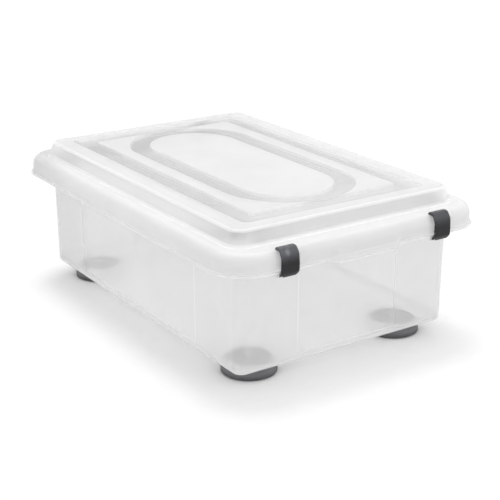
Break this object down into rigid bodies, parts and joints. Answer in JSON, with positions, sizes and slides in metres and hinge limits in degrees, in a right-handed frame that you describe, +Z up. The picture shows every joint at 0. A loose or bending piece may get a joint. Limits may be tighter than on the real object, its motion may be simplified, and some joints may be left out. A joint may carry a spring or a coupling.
{
  "type": "under bed storage box",
  "caption": "Low translucent storage box on roller castors, with a channelled lift-off lid held by hinged end clips.",
  "frame": {"origin": "on the floor, under the middle of the box", "axes": "+X along the long side, +Y across the box, +Z up"},
  "size_m": [0.5964, 0.4042, 0.2097],
  "materials": {
    "tub_clear": "translucent natural polypropylene, light frost",
    "lid_clear": "translucent natural polypropylene, light frost",
    "clip_dark": "dark charcoal plastic, fine grain",
    "castor_dark": "dark charcoal plastic",
    "wheel_dark": "hard black tread",
    "steel": "zinc plated"
  },
  "bodies": {
    "tub": {"tub": "tub_clear"},
    "lid": {"lid": "lid_clear"},
    "clip_px_ny": {"clip_px_ny": "clip_dark"},
    "clip_px_py": {"clip_px_py": "clip_dark"},
    "clip_nx_ny": {"clip_nx_ny": "clip_dark"},
    "clip_nx_py": {"clip_nx_py": "clip_dark"},
    "castor_px_ny": {"castor_cup_px_ny": "castor_dark", "castor_pin_px_ny": "steel", "castor_axle_px_ny": "steel"},
    "wheel_px_ny": {"castor_wheel_px_ny": "wheel_dark"},
    "castor_px_py": {"castor_cup_px_py": "castor_dark", "castor_pin_px_py": "steel", "castor_axle_px_py": "steel"},
    "wheel_px_py": {"castor_wheel_px_py": "wheel_dark"},
    "castor_nx_ny": {"castor_cup_nx_ny": "castor_dark", "castor_pin_nx_ny": "steel", "castor_axle_nx_ny": "steel"},
    "wheel_nx_ny": {"castor_wheel_nx_ny": "wheel_dark"},
    "castor_nx_py": {"castor_cup_nx_py": "castor_dark", "castor_pin_nx_py": "steel", "castor_axle_nx_py": "steel"},
    "wheel_nx_py": {"castor_wheel_nx_py": "wheel_dark"}
  },
  "joints": [
    {"name": "lid_lift", "type": "slide", "parent": "tub", "child": "lid", "axis": [0, 0, 1], "range_m": [0, 0.24]},
    {"name": "clip_hinge_px_ny", "type": "hinge", "parent": "tub", "child": "clip_px_ny", "pos_m": [0.2898, -0.1195, 0.1589], "axis": [0, 1, 0], "range_deg": [0, 130]},
    {"name": "clip_hinge_px_py", "type": "hinge", "parent": "tub", "child": "clip_px_py", "pos_m": [0.2898, 0.1195, 0.1589], "axis": [0, 1, 0], "range_deg": [0, 130]},
    {"name": "clip_hinge_nx_ny", "type": "hinge", "parent": "tub", "child": "clip_nx_ny", "pos_m": [-0.2898, -0.1195, 0.1589], "axis": [0, -1, 0], "range_deg": [0, 130]},
    {"name": "clip_hinge_nx_py", "type": "hinge", "parent": "tub", "child": "clip_nx_py", "pos_m": [-0.2898, 0.1195, 0.1589], "axis": [0, -1, 0], "range_deg": [0, 130]},
    {"name": "castor_swivel_px_ny", "type": "hinge", "parent": "tub", "child": "castor_px_ny", "pos_m": [0.2069, -0.1186, 0.0184], "axis": [0, 0, 1], "continuous": true},
    {"name": "wheel_spin_px_ny", "type": "hinge", "parent": "castor_px_ny", "child": "wheel_px_ny", "pos_m": [0.1889, -0.1186, 0.0076], "axis": [0, 1, 0], "continuous": true},
    {"name": "castor_swivel_px_py", "type": "hinge", "parent": "tub", "child": "castor_px_py", "pos_m": [0.2069, 0.1186, 0.0184], "axis": [0, 0, 1], "continuous": true},
    {"name": "wheel_spin_px_py", "type": "hinge", "parent": "castor_px_py", "child": "wheel_px_py", "pos_m": [0.1889, 0.1186, 0.0076], "axis": [0, 1, 0], "continuous": true},
    {"name": "castor_swivel_nx_ny", "type": "hinge", "parent": "tub", "child": "castor_nx_ny", "pos_m": [-0.2069, -0.1186, 0.0184], "axis": [0, 0, 1], "continuous": true},
    {"name": "wheel_spin_nx_ny", "type": "hinge", "parent": "castor_nx_ny", "child": "wheel_nx_ny", "pos_m": [-0.2249, -0.1186, 0.0076], "axis": [0, 1, 0], "continuous": true},
    {"name": "castor_swivel_nx_py", "type": "hinge", "parent": "tub", "child": "castor_nx_py", "pos_m": [-0.2069, 0.1186, 0.0184], "axis": [0, 0, 1], "continuous": true},
    {"name": "wheel_spin_nx_py", "type": "hinge", "parent": "castor_nx_py", "child": "wheel_nx_py", "pos_m": [-0.2249, 0.1186, 0.0076], "axis": [0, 1, 0], "continuous": true}
  ]
}
